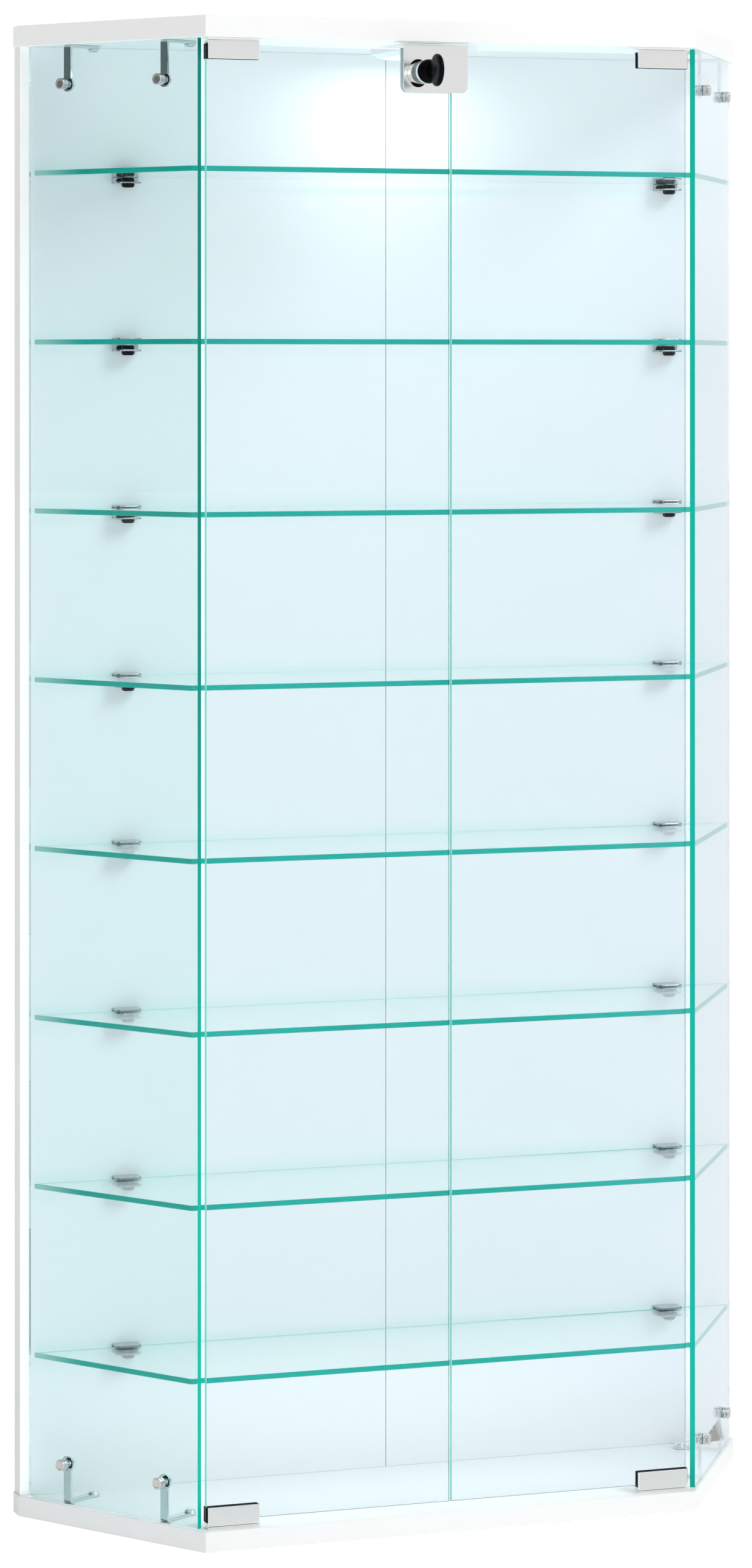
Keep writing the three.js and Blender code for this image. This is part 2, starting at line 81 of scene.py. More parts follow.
# Turned profiles, as (radius, height) in millimetres.
BOLT_HEAD = [
    (0, 0.5), (4.4, 0.5), (4.4, 2.8), (3.75, 3.0), (3.75, 3.5), (4.4, 3.7),
    (4.4, 5.5), (3.9, 6.0), (3.1, 6.0), (2.9, 5.75), (0, 5.75),
]
BOLT_END = [(0, 0), (3.0, 0), (3.0, 0.9), (2.2, 1.9), (0, 2.2)]
SCREW_CAP = [(0, 0), (4.7, 0), (4.7, 1.1), (3.7, 2.3), (2.6, 2.75), (0, 2.85)]
GRUB_SCREW = [(0, 0), (2.1, 0), (2.1, 0.5), (1.1, 0.5), (0.95, 0.1), (0, 0.1)]

CLAMP = {
    "width": 21 * MM, "depth": 14.5 * MM, "corner": 5 * MM, "sheet": 1.3 * MM,
    "above": 1.5 * MM, "below": 9.0 * MM, "spine_inset": 0.2 * MM, "corner_steps": 8,
}
KNOB = {
    "radius": 5.1 * MM, "chamfer": 1.2 * MM, "setback": 8.7 * MM, "top": 4.2 * MM, "bottom": 12.1 * MM,
    "sides": 8, "dimple": 0.5 * MM, "tip_radius": 2.6 * MM, "tip_height": 0.15 * MM,
}

LOCK_AXIS = Vector((-28 * MM, 0, 1110 * MM))
LOCK_FACE = 5 * MM - HALF_DEPTH      # front face of the lock plate
# The barrel's dark band is a painted dark reflection.
BARREL = {"radius": 8.8 * MM, "bore": 6.3 * MM, "length": 23 * MM, "painted_dark_band": (9 * MM, 19 * MM)}
LEAF_FACING = 0.9                    # how squarely a face of the plate must face front to carry the pale painted light
BACK_LEAF = 4 * MM                   # further back than this, the lock plate lies behind the glass
INLAY = {"half_width": 6.5 * MM, "half_height": 10.7 * MM, "thickness": 0.3 * MM, "hole": 6.35 * MM}
KEY = {
    "collar": 9.2 * MM, "collar_end": 5.5 * MM, "collar_start": 23.4 * MM, "collar_length": 6.6 * MM,
    "collar_straight": 1.5 * MM, "collar_shoulder": 3.6 * MM,
    "bow": 12.5 * MM, "bow_centre": 42 * MM, "bow_half": 2.2 * MM,
    "blade_half_thick": 1.1 * MM, "blade_half_high": 3.5 * MM, "blade_length": 19 * MM,
    "blade_overlap": 0.5 * MM,
}

SHELF_COUNT = 8
LINER_SETBACK = 0.6 * MM             # rubber liner inside the hinge clamp's upper and lower edges
GRUB_SCREW_EDGE = 6 * MM             # screws to the clamp's edge away from the board
GRUB_SCREW_SHARES = (0.3, 0.7)       # their places across the clamp

# How far the edges of each piece are softened.
ROUNDING = {
    "board": 0.6 * MM, "panel": 0.4 * MM, "pane": 0.4 * MM, "shelf": 0.5 * MM,
    "bolt_head": 0.18 * MM, "bolt_end": 0.3 * MM, "screw_cap": 0.25 * MM,
    "clamp_sheet": 0.35 * MM, "clamp_spine": 0.15 * MM, "knob": 0.2 * MM,
    "hinge_clamp": 0.45 * MM, "liner": 0.2 * MM, "hinge_base": 0.25 * MM, "grub_screw": 0.1 * MM,
    "lock_plate": 0.4 * MM, "barrel_end": 0.6 * MM, "barrel_bore": 0.3 * MM,
    "plug": 0.3 * MM, "cam": 0.25 * MM, "strike_plate": 0.2 * MM,
    "key_collar": 0.8 * MM, "key_bow": 1.4 * MM, "key_blade": 0.3 * MM,
    "lamp_housing": 0.5 * MM, "lamp_lens": 0.4 * MM,
}

WELD = 2e-6                          # corners closer than this are one corner
TINY = 1e-7
SMOOTH_ANGLE = math.radians(20)      # faces that meet at less than this shade as one surface
EDGE_ANGLE = math.radians(40)        # edges sharper than this are softened
FLAT_ANGLE = math.radians(0.5)       # faces that meet at less than this are one flat face
FACING = 0.99                        # a face whose normal is this near a direction lies square to it
LEANING = 0.3                        # a face this near a clear edge's direction is clear, arrises with it
EVEN_WEIGHT = 80                     # how strongly large faces set the shading beside them
FINE_TURN = 96                       # segments of a large turned piece
SMALL_TURN = 24                      # segments of a small one

# ---------------------------------------------------------------- light, studio and camera
MIRRORING = (0.3, 0.3, 0.3)          # how much of its head-on reflection the coated glass keeps
GLASS_IOR = 1.52
WORLD_STRENGTH = 0.37
WORLD_COLOUR = (0.985, 0.99, 1.0, 1)
BACKDROP = (1.03, 1.03, 1.03, 1)     # what is seen directly or through glass
ZENITH = (0.3, 0.31, 0.32, 1)        # straight above, in reflections
# The studio that polished metal and glass mirror: (height of the direction, shade).
STUDIO_BANDS = (
    (0.0, 0.82), (0.07, 1.0), (0.12, 1.0), (0.2, 0.12), (0.33, 0.12), (0.4, 1.0), (0.82, 1.0),
)
# Its dark left side: where in X, and how low in Z, the darkness is full and where it ends.
DARK_SIDE = {"full": -0.75, "none": -0.35, "colour": (0.2, 0.21, 0.215, 1)}
DARK_SIDE_FOOT = {"full": 0.0, "none": -0.12}
FLOOR_REACH = 30
FLOOR_LEVEL = -0.3 * MM
FLOOR_GLOW = 0.75
FLOOR_GLOW_MIRRORED = 0.12
# Suns: name, direction they shine from, softness in degrees, strength.
SUNS = (
    ("key_light", (0.8, -1.0, 1.15), 26, 1.4),
    ("fill_light", (-0.4, -1.0, 0.08), 50, 0.38),
    ("back_light", (0.3, 1.0, 0.4), 40, 0.55),
)
# Area lights: name, place, place they face, width, depth, power, colour.
AREA_LIGHTS = (
    ("low_light", (0, -0.02, 0.122), (0, -0.019, 0), 0.5, 0.08, 0.13, (1, 1, 1)),
    ("lamp_glow", (0, 0.002, 1.126), (0, 0.002, 0), 0.044, 0.02, 0.12, (0.96, 0.98, 1.0)),
)
CAMERA = {
    "lens": 110.08, "sensor": 36, "shift": -0.267, "place": (-1.266, -3.5095, 0.888),
    "turn": (math.radians(90), 0, math.radians(-19.359)),
}
BOUNCES = {
    "max_bounces": 24, "transmission_bounces": 24, "glossy_bounces": 10, "transparent_max_bounces": 40,
}

# Sockets of a Mix node in its colour mode.
MIX_FIRST = 6
MIX_SECOND = 7
MIX_RESULT = 2


# ---------------------------------------------------------------- mesh helpers
def corner_curve(corner, to_start, to_end, steps):
    """Points of a curve that cuts a corner, from one side of it to the other."""
    start = corner + to_start
    end = corner + to_end
    made = []
    for step in range(steps + 1):
        t = step / steps
        made.append(start * (1 - t) ** 2 + corner * 2 * t * (1 - t) + end * t ** 2)
    return made


def in_metres(profile):
    """A profile given in millimetres, in metres."""
    return [(radius * MM, height * MM) for radius, height in profile]


def rounded(points, radii, steps=5):
    """A closed outline with each corner replaced by a short curve of about its radius."""
    made = []
    for index, (corner, radius) in enumerate(zip(points, radii)):
        here = Vector(corner)
        before = Vector(points[index - 1]) - here
        after = Vector(points[(index + 1) % len(points)]) - here
        reach = min(radius, before.length / 2, after.length / 2)
        if reach < TINY:
            made.append(here)
            continue
        made += corner_curve(here, before.normalized() * reach, after.normalized() * reach, steps)
    return made


def softened(profile, radius, steps=4):
    """A turned profile whose inner corners are rounded; its first and last points stay on the axis."""
    made = [Vector(profile[0])]
    for before, corner, after in zip(profile, profile[1:], profile[2:]):
        here = Vector(corner)
        to_before = Vector(before) - here
        to_after = Vector(after) - here
        reach = min(radius, to_before.length / 2, to_after.length / 2)
        made += corner_curve(here, to_before.normalized() * reach, to_after.normalized() * reach, steps)
    made.append(Vector(profile[-1]))
    return made


def prism(outline, low, high):
    """A solid with the outline's (x, y) corners, from z low to z high."""
    mesh = bmesh.new()
    bottom = [mesh.verts.new((x, y, low)) for x, y in outline]
    top = [mesh.verts.new((x, y, high)) for x, y in outline]
    mesh.faces.new(bottom[::-1])
    mesh.faces.new(top)
    for index in range(len(outline)):
        after = (index + 1) % len(outline)
        mesh.faces.new((bottom[index], bottom[after], top[after], top[index]))
    bmesh.ops.recalc_face_normals(mesh, faces=mesh.faces)
    return mesh


def turned(profile, segments=48, closed=False):
    """A solid of revolution about Z. The profile lists (radius, height); closed joins its two ends."""
    mesh = bmesh.new()
    rings = []
    for radius, height in profile:
        count = 1 if radius < TINY else segments
        ring = []
        for index in range(count):
            angle = 2 * math.pi * index / segments
            ring.append(mesh.verts.new((radius * math.cos(angle), radius * math.sin(angle), height)))
        rings.append(ring)
    pairs = list(zip(rings, rings[1:]))
    if closed:
        pairs.append((rings[-1], rings[0]))
    for lower, upper in pairs:
        for index in range(segments):
            after = index + 1
            corners = (
                lower[index % len(lower)], lower[after % len(lower)],
                upper[after % len(upper)], upper[index % len(upper)],
            )
            whole = list(dict.fromkeys(corners))
            if len(whole) > 2:
                mesh.faces.new(whole)
    bmesh.ops.recalc_face_normals(mesh, faces=mesh.faces)
    return mesh


def solid_of(node):
    """A copy of a CAD node's solid with shared corners and whole flat faces."""
    mesh = bmesh.new()
    mesh.from_mesh(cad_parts[node].data)
    bmesh.ops.remove_doubles(mesh, verts=mesh.verts, dist=WELD)
    bmesh.ops.dissolve_limit(mesh, angle_limit=FLAT_ANGLE, verts=mesh.verts, edges=mesh.edges)
    return mesh


def soften(mesh, width, segments=2, painted_rim=-1):
    """Rounds each outward edge sharper than EDGE_ANGLE; its last argument is the number of the rounding's
    material, which paints a highlight on the plates and a dark reflection on the clamps.
    """
    sharp = [e for e in mesh.edges if e.is_manifold and e.calc_face_angle_signed(0) > EDGE_ANGLE]
    bmesh.ops.bevel(
        mesh, geom=sharp, offset=width, segments=segments, profile=0.5, affect="EDGES", clamp_overlap=True,
        material=painted_rim)
    return mesh


def placed(mesh, place):
    """Moves a mesh by a matrix and hands it back."""
    bmesh.ops.transform(mesh, matrix=place, verts=mesh.verts)
    return mesh


def merged(parts):
    """Joins several meshes into one, each still a solid of its own."""
    whole = bmesh.new()
    for part in parts:
        data = bpy.data.meshes.new("part")
        part.to_mesh(data)
        part.free()
        whole.from_mesh(data)
        bpy.data.meshes.remove(data)
    return whole


def piece(name, parts, body, materials, replaces=()):
    """Makes one shown piece of one or more solids, which rides on a body and stands for some CAD nodes."""
    mesh = merged(parts) if isinstance(parts, (list, tuple)) else parts
    data = bpy.data.meshes.new(name)
    mesh.to_mesh(data)
    mesh.free()
    data.polygons.foreach_set("use_smooth", [True] * len(data.polygons))
    data.set_sharp_from_angle(angle=SMOOTH_ANGLE)
    for material in materials:
        data.materials.append(material)
    made = bpy.data.objects.new(name, data)
    bpy.context.scene.collection.objects.link(made)
    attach(made, body)
    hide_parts(*replaces)
    return made


def even_shading(made):
    """Keeps flat faces flat beside their rounded edges."""
    modifier = made.modifiers.new("even_shading", "WEIGHTED_NORMAL")
    modifier.keep_sharp = True
    modifier.weight = EVEN_WEIGHT


# ---------------------------------------------------------------- material helpers
def add(tree, kind, inputs=None, **settings):
    """Adds a shader node; inputs are socket names with a value or with the socket that feeds them."""
    made = tree.nodes.new(kind)
    for name, value in settings.items():
        setattr(made, name, value)
    for name, value in (inputs or {}).items():
        if isinstance(value, bpy.types.NodeSocket):
            tree.links.new(value, made.inputs[name])
        else:
            made.inputs[name].default_value = value
    return made


def new_material(name, **sockets):
    """A material with one Principled shader, and its tree and shader."""
    material = bpy.data.materials.new(name)
    material.use_nodes = True
    tree = material.node_tree
    shader = tree.nodes["Principled BSDF"]
    for socket, value in sockets.items():
        shader.inputs[socket.replace("_", " ").title().replace("Ior", "IOR")].default_value = value
    return material, tree, shader


def stretched(tree, scale):
    """Object coordinates scaled along each axis, in repeats per metre."""
    place = add(tree, "ShaderNodeTexCoord")
    return add(tree, "ShaderNodeMapping", {
        "Vector": place.outputs["Object"], "Scale": scale}).outputs["Vector"]


def noise(tree, vector, detail=3.0, roughness=0.5):
    """A smooth random pattern, 0 to 1, the same on every run."""
    return add(tree, "ShaderNodeTexNoise", {
        "Vector": vector, "Scale": 1.0, "Detail": detail, "Roughness": roughness}).outputs["Fac"]


def spread(tree, value, low, high):
    """Takes the middle of a 0 to 1 pattern to the range low to high."""
    return add(tree, "ShaderNodeMapRange", {
        "Value": value, "From Min": 0.3, "From Max": 0.7, "To Min": low, "To Max": high}).outputs["Result"]


def blended(tree, value, first, second):
    """A colour between two, first where the value is 0 and second where it is 1."""
    mix = add(tree, "ShaderNodeMix", {
        "Factor": value, MIX_FIRST: (*first, 1), MIX_SECOND: (*second, 1)}, data_type="RGBA")
    return mix.outputs[MIX_RESULT]


def ramp_down(tree, value, full, none):
    """1 at the value full, falling smoothly to 0 at none."""
    return add(tree, "ShaderNodeMapRange", {
        "Value": value, "From Min": none, "From Max": full, "To Min": 0.0, "To Max": 1.0},
        interpolation_type="SMOOTHSTEP").outputs["Result"]


def bump(tree, height, strength, depth):
    """A normal that follows a pattern's height, for relief too fine to model."""
    return add(tree, "ShaderNodeBump", {
        "Height": height, "Strength": strength, "Distance": depth}).outputs["Normal"]


# ---------------------------------------------------------------- materials
def melamine(name, light, dark, pebble, rough):
    """White faced board: a fine pebble, with faint cloudiness in its colour and gloss."""
    material, tree, shader = new_material(name, specular_ior_level=0.45)
    fine = noise(tree, stretched(tree, (850, 850, 850)), 2.0)
    broad = noise(tree, stretched(tree, (9, 9, 9)), 4.0)
    tree.links.new(blended(tree, broad, light, dark), shader.inputs["Base Color"])
    tree.links.new(spread(tree, broad, rough - 0.05, rough + 0.05), shader.inputs["Roughness"])
    tree.links.new(bump(tree, fine, pebble, 0.08 * MM), shader.inputs["Normal"])
    return material


def glass(name, tint, shadow_tint, roughness=0.0, ripple=0.0):
    """Clear glass that bends what is seen through it and lets the lamps' light through."""
    material, tree, shader = new_material(
        name, base_color=(*tint, 1), roughness=roughness, ior=GLASS_IOR, transmission_weight=1.0,
        specular_tint=(*MIRRORING, 1))
    if ripple:
        wave = noise(tree, stretched(tree, (14, 14, 5)), 1.0)
        tree.links.new(bump(tree, wave, ripple, 0.4 * MM), shader.inputs["Normal"])
    return open_to_light(material, tree, shader.outputs["BSDF"], shadow_tint)


def open_to_light(material, tree, surface, shadow_tint):
    """Lets shadow rays and soft bounced light pass straight through a surface, tinted."""
    path = add(tree, "ShaderNodeLightPath")
    straight = add(tree, "ShaderNodeMath", {
        0: path.outputs["Is Shadow Ray"], 1: path.outputs["Is Diffuse Ray"]}, operation="MAXIMUM")
    clear = add(tree, "ShaderNodeBsdfTransparent", {"Color": (*shadow_tint, 1)})
    mix = add(tree, "ShaderNodeMixShader", {0: straight.outputs[0], 1: surface, 2: clear.outputs[0]})
    tree.links.new(mix.outputs[0], tree.nodes["Material Output"].inputs["Surface"])
    return material


def glass_edge(name, deep, pale, streaks, painted_fades=()):
    """A ground edge of float glass: sea green from the depth of the pane, with streaks along it.

    Each fade is (axis, from, to, colour): the green runs to another colour between two places on an axis,
    as painted light and shade.
    """
    material, tree, shader = new_material(name, roughness=0.2, ior=GLASS_IOR, specular_ior_level=0.08)
    pattern = noise(tree, stretched(tree, streaks), 3.0)
    colour = blended(tree, spread(tree, pattern, 0.0, 1.0), deep, pale)
    place = add(tree, "ShaderNodeTexCoord")
    along = add(tree, "ShaderNodeSeparateXYZ", {"Vector": place.outputs["Object"]})
    for axis, start, end, other in painted_fades:
        share = ramp_down(tree, along.outputs[axis], end, start)
        faded = add(tree, "ShaderNodeMix", {
            "Factor": share, MIX_FIRST: colour, MIX_SECOND: (*other, 1)}, data_type="RGBA")
        colour = faded.outputs[MIX_RESULT]
    tree.links.new(colour, shader.inputs["Base Color"])
    return open_to_light(material, tree, shader.outputs["BSDF"], (0.5, 0.85, 0.8))


def polished(name, colour):
    """Chrome plate with a trace of orange peel and fine wiping marks in its gloss."""
    material, tree, shader = new_material(name, base_color=(*colour, 1), metallic=1.0)
    wipe = noise(tree, stretched(tree, (60, 60, 400)), 4.0)
    peel = noise(tree, stretched(tree, (500, 500, 500)), 1.0)
    tree.links.new(spread(tree, wipe, 0.03, 0.1), shader.inputs["Roughness"])
    tree.links.new(bump(tree, peel, 0.06, 0.02 * MM), shader.inputs["Normal"])
    return material


def brushed(name, light, dark):
    """Satin metal, brushed along X."""
    material, tree, shader = new_material(name, metallic=1.0)
    grain = noise(tree, stretched(tree, (40, 2600, 2600)), 5.0, 0.65)
    tree.links.new(blended(tree, spread(tree, grain, 0.0, 1.0), light, dark), shader.inputs["Base Color"])
    tree.links.new(spread(tree, grain, 0.17, 0.22), shader.inputs["Roughness"])
    tree.links.new(bump(tree, grain, 0.08, 0.02 * MM), shader.inputs["Normal"])
    return material


def moulded(name, light, dark, rough, grain_scale, grain_depth, shine=0.5):
    """Moulded plastic or rubber with a fine grain."""
    material, tree, shader = new_material(name, specular_ior_level=shine)
    grain = noise(tree, stretched(tree, (grain_scale,) * 3), 3.0)
    broad = noise(tree, stretched(tree, (30, 30, 30)), 3.0)
    tree.links.new(blended(tree, broad, light, dark), shader.inputs["Base Color"])
    tree.links.new(spread(tree, broad, rough - 0.05, rough + 0.07), shader.inputs["Roughness"])
    tree.links.new(bump(tree, grain, 0.3, grain_depth), shader.inputs["Normal"])
    return material


def diffuser(name, strength):
    """The lamp's frosted lens, lit from inside, a little dimmer in its grain."""
    material, tree, shader = new_material(name, base_color=(0.96, 0.97, 0.98, 1), roughness=0.45)
    cells = add(tree, "ShaderNodeTexVoronoi", {"Vector": stretched(tree, (700, 700, 700)), "Scale": 1.0})
    glow = blended(tree, cells.outputs["Distance"], (1.0, 1.0, 1.0), (0.85, 0.93, 1.0))
    tree.links.new(glow, shader.inputs["Emission Color"])
    shader.inputs["Emission Strength"].default_value = strength
    tree.links.new(bump(tree, cells.outputs["Distance"], 0.4, 0.1 * MM), shader.inputs["Normal"])
    return material


WHITE_FACE = melamine("white_face", (0.90, 0.90, 0.895), (0.875, 0.878, 0.875), 0.35, 0.42)
# Painted shade: the board edges are a little darker than the faces, and the bottom board's and back panels'
# edges are darker still.
EDGES_IN_PAINTED_SHADE = {
    "top": melamine("white_edge_painted_shade", (0.82, 0.821, 0.822), (0.805, 0.806, 0.807), 0.12, 0.34),
    "bottom": melamine("edge_deep_painted_shade", (0.735, 0.733, 0.731), (0.72, 0.718, 0.716), 0.12, 0.34),
}
PANE = glass("pane", (0.84, 0.868, 0.905), (0.946, 0.976, 0.992), ripple=0.02)
# The left pane's tint is darker and greener than the right pane's: painted shade over the left of the
# cabinet.
SIDE_PANES = {
    "left": glass("side_pane_left_painted_shade", (0.76, 0.84, 0.86), (0.93, 0.97, 0.985), ripple=0.02),
    "right": glass("side_pane_right", (0.83, 0.91, 0.975), (0.93, 0.97, 0.985), ripple=0.02),
}
SHELF_FACE = glass("shelf_face", (0.912, 0.988, 0.962), (0.965, 0.995, 0.985))
# The left pane's edge darkens towards the top: painted shade.
PANE_EDGES = {
    "left": glass_edge("pane_edge_left_painted_shade", (0.003, 0.40, 0.30), (0.006, 0.46, 0.37), (8, 8, 3),
                       painted_fades=[("Z", 0.1, 0.85, (0.006, 0.19, 0.155))]),
    "right": glass_edge("pane_edge_right", (0.003, 0.40, 0.30), (0.006, 0.46, 0.37), (8, 8, 3)),
}
DOOR_EDGE = glass_edge("door_edge", (0.22, 0.66, 0.57), (0.28, 0.72, 0.64), (8, 8, 3))
# The shelf edges turn pale towards the back and a lighter green towards the right: painted light.
SHELF_EDGE = glass_edge(
    "shelf_edge", (0.003, 0.38, 0.29), (0.012, 0.45, 0.36), (9, 9, 30),
    painted_fades=[("Y", 0.02, 0.068, (0.38, 0.68, 0.62)), ("X", 0.05, 0.2, (0.03, 0.44, 0.365))])
CHROME = polished("chrome", (0.86, 0.87, 0.88))
# Dark chrome on the clamps' rounded edges: a painted dark reflection.
CHROME_PAINTED_DARK_RIM = polished("chrome_rim_painted_reflection", (0.24, 0.28, 0.28))
# Near-black chrome for the barrel's band: a painted dark reflection.
CHROME_PAINTED_DARK_BAND = polished("chrome_painted_dark_reflection", (0.09, 0.10, 0.105))
# Chrome darkened for the shelf clamps: painted shade.
CLAMP_CHROME_PAINTED_SHADE = polished("clamp_chrome_painted_shade", (0.58, 0.60, 0.60))
# Chrome made darker and greener for the bracket straps: painted shade.
STRAP_CHROME_PAINTED_SHADE = polished("strap_chrome_painted_shade", (0.70, 0.78, 0.765))
# Near-white polish on the rounded edges of the hinge clamps and the lock plate: a painted highlight.
PAINTED_HIGHLIGHT_RIM = polished("painted_highlight_rim", (0.97, 0.97, 0.97))
# Chrome darkened for the glass bolts: painted shade.
BOLT_CHROME_PAINTED_SHADE = polished("bolt_chrome_painted_shade", (0.66, 0.635, 0.63))
BRUSHED = brushed("brushed", (0.83, 0.83, 0.825), (0.815, 0.815, 0.81))
# The bottom hinge clamps take a darker copy of the brushed metal: painted shade.
BRUSHED_CLAMPS = {
    "top": BRUSHED,
    "bottom": brushed("brushed_painted_shade", (0.755, 0.745, 0.735), (0.74, 0.73, 0.72)),
}
RUBBER = moulded("rubber", (0.003, 0.0032, 0.0032), (0.006, 0.0063, 0.0063), 0.5, 900, 0.05 * MM, 0.15)
PLASTIC = moulded("plastic", (0.002, 0.002, 0.0025), (0.003, 0.003, 0.0035), 0.17, 700, 0.01 * MM, 0.04)
# A pale colour for the plate's back leaf behind the glass, which lies in shade: painted light.
LOCK_LEAF_PAINTED_LIGHT = moulded("lock_leaf_painted_light", (0.74, 0.83, 0.815), (0.78, 0.87, 0.855), 0.5, 700, 0.01 * MM)
LAMP_SHELL = moulded("lamp_shell", (0.86, 0.87, 0.875), (0.90, 0.905, 0.91), 0.4, 800, 0.03 * MM)
LAMP_LENS = diffuser("lamp_lens", 3.0)


# ---------------------------------------------------------------- boards and back
def add_boards():
    for level in LEVELS:
        node = f"{level}_board"
        mesh = soften(solid_of(node), ROUNDING["board"])
        for face in mesh.faces:
            face.material_index = 1 if abs(face.normal.z) < 0.5 else 0
        piece(f"{node}_faced", mesh, "cabinet", [WHITE_FACE, EDGES_IN_PAINTED_SHADE[level]], [node])
    for side in SIDES:
        node = f"back_panel_{side}"
        mesh = soften(solid_of(node), ROUNDING["panel"])
        for face in mesh.faces:
            face.material_index = 1 if abs(face.normal.x) > 0.5 else 0
        piece(f"{node}_faced", mesh, "cabinet", [WHITE_FACE, EDGES_IN_PAINTED_SHADE["bottom"]], [node])


# ---------------------------------------------------------------- glass
def pane(node, body, arris, face_material, edge_material, polished=()):
    """A pane with ground arrises: its large faces and polished sides are clear, its other edges green."""
    mesh = soften(solid_of(node), arris)
    low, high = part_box(node)
    thin = min(range(3), key=lambda axis: high[axis] - low[axis])
    if high[thin] - low[thin] < 2 * GLASS:
        flat = Vector([1.0 if axis == thin else 0.0 for axis in range(3)])
    else:
        flat = max(mesh.faces, key=lambda face: face.calc_area()).normal.copy()
    for face in mesh.faces:
        clear = abs(face.normal.dot(flat)) > FACING
        for side in polished:
            clear = clear or face.normal.dot(side) > LEANING
        face.material_index = 0 if clear else 1
    piece(f"{node}_pane", mesh, body, [face_material, edge_material], [node])


def add_glass():
    up = Vector((0, 0, 1))
    rear = Vector((0, 1, 0))
    right = Vector((1, 0, 0))
    arris = ROUNDING["pane"]
    for side in SIDES:
        pane(f"side_glass_{side}", "cabinet", arris, SIDE_PANES[side], PANE_EDGES[side], (rear, up, -up))
        pane(f"door_glass_{side}", f"{side}_door", arris, PANE, DOOR_EDGE, (right, up, -up))
    for index in range(SHELF_COUNT):
        pane(f"shelf_{index + 1}", "cabinet", ROUNDING["shelf"], SHELF_FACE, SHELF_EDGE)


# ---------------------------------------------------------------- side glass brackets
def slant_point(side, along, inward):
    """A point on the plan: along the slanted edge from its front corner, and inward from that edge."""
    run = Vector((HALF_WIDTH - FRONT_HALF, 2 * HALF_DEPTH - BOARD)).normalized()
    x = FRONT_HALF + along * run.x - inward * run.y
    y = along * run.y + inward * run.x - HALF_DEPTH
    return Vector((side * x, y)), math.atan2(run.x, -side * run.y)


def bracket_place(side, level, along):
    """Takes a bracket's frame to the cabinet's: its +X points inward from the pane, its foot is down."""
    plan, angle = slant_point(side, SIDE_START + along, SIDE_INSET + GLASS)
    height = BOARD + BOLT_RISE if level == "bottom" else cad_box[1].z - BOARD - BOLT_RISE
    flip = Matrix.Rotation(math.pi if level == "top" else 0, 4, "X")
    return Matrix.Translation((plan.x, plan.y, height)) @ Matrix.Rotation(angle, 4, "Z") @ flip


ALONG_X = Matrix.Rotation(math.pi / 2, 4, "Y")
UPRIGHT = Matrix.Rotation(math.pi / 2, 4, "X")


def strap_parts():
    """The bent strap with the round end behind the glass bolt and the round foot pad."""
    sheet, gap, reach, rounding = (BRACKET[key] for key in ("sheet", "gap", "reach", "rounding"))
    foot = FOOT_GAP - BOLT_RISE
    corners = [
        (gap, 0), (gap, foot), (reach, foot),
        (reach, foot + sheet), (gap + sheet, foot + sheet), (gap + sheet, 0),
    ]
    side_view = rounded(corners, [0, BRACKET["outer_bend"], 0, 0, BRACKET["inner_bend"], 0])
    strap = prism(side_view, -BRACKET["width"] / 2, BRACKET["width"] / 2)
    soften(strap, rounding)
    disc = softened([(0, 0), (BRACKET["disc"], 0), (BRACKET["disc"], sheet), (0, sheet)], rounding)
    pad = softened([(0, 0), (BRACKET["pad"], 0), (BRACKET["pad"], sheet), (0, sheet)], rounding)
    return [
        placed(strap, UPRIGHT),
        placed(turned(disc), Matrix.Translation((gap, 0, 0)) @ ALONG_X),
        placed(turned(pad), Matrix.Translation((reach, 0, foot))),
    ]


def glass_bolt_parts():
    """The stepped round head outside the pane and the rounded end inside it."""
    outward = Matrix.Translation((-GLASS - BRACKET["gap"], 0, 0)) @ ALONG_X.inverted()
    inward = Matrix.Translation((BRACKET["gap"] + BRACKET["sheet"], 0, 0)) @ ALONG_X
    return [
        placed(turned(softened(in_metres(BOLT_HEAD), ROUNDING["bolt_head"])), outward),
        placed(turned(softened(in_metres(BOLT_END), ROUNDING["bolt_end"])), inward),
    ]


def washer_parts():
    """The thin black washer between the bolt's head and the pane."""
    bore, radius, low = WASHER["bore"], WASHER["radius"], WASHER["from_glass"]
    high = low + WASHER["thickness"]
    ring = [(bore, low), (radius, low), (radius, high), (bore, high)]
    outward = Matrix.Translation((WASHER["from_glass"] - GLASS - BRACKET["gap"], 0, 0)) @ ALONG_X.inverted()
    return [placed(turned(ring, closed=True), outward)]


def cap_parts():
    """The domed cap over the screw through the foot pad."""
    seat = FOOT_GAP - BOLT_RISE + BRACKET["sheet"]
    cap = turned(softened(in_metres(SCREW_CAP), ROUNDING["screw_cap"]))
    return [placed(cap, Matrix.Translation((BRACKET["reach"], 0, seat)))]


def add_brackets():
    kinds = (
        ("strap", strap_parts, "polished_chrome", STRAP_CHROME_PAINTED_SHADE),
        ("glass_bolt", glass_bolt_parts, "polished_chrome", BOLT_CHROME_PAINTED_SHADE),
        ("washer", washer_parts, "black_rubber", RUBBER),
        ("screw_cap", cap_parts, "polished_chrome", CHROME),
    )
    for side_name, side in SIDES.items():
        for level in LEVELS:
            for where, along in BOLT_PLACES.items():
                place = bracket_place(side, level, along)
                node = f"side_bracket_{level}_{side_name}_{where}"
                for kind, parts, slot, material in kinds:
                    made = piece(
                        f"{node}_{kind}", [placed(part, place) for part in parts()], "cabinet",
                        [material], [node] if kind == "strap" else [])
                    if kind == "strap":
                        even_shading(made)


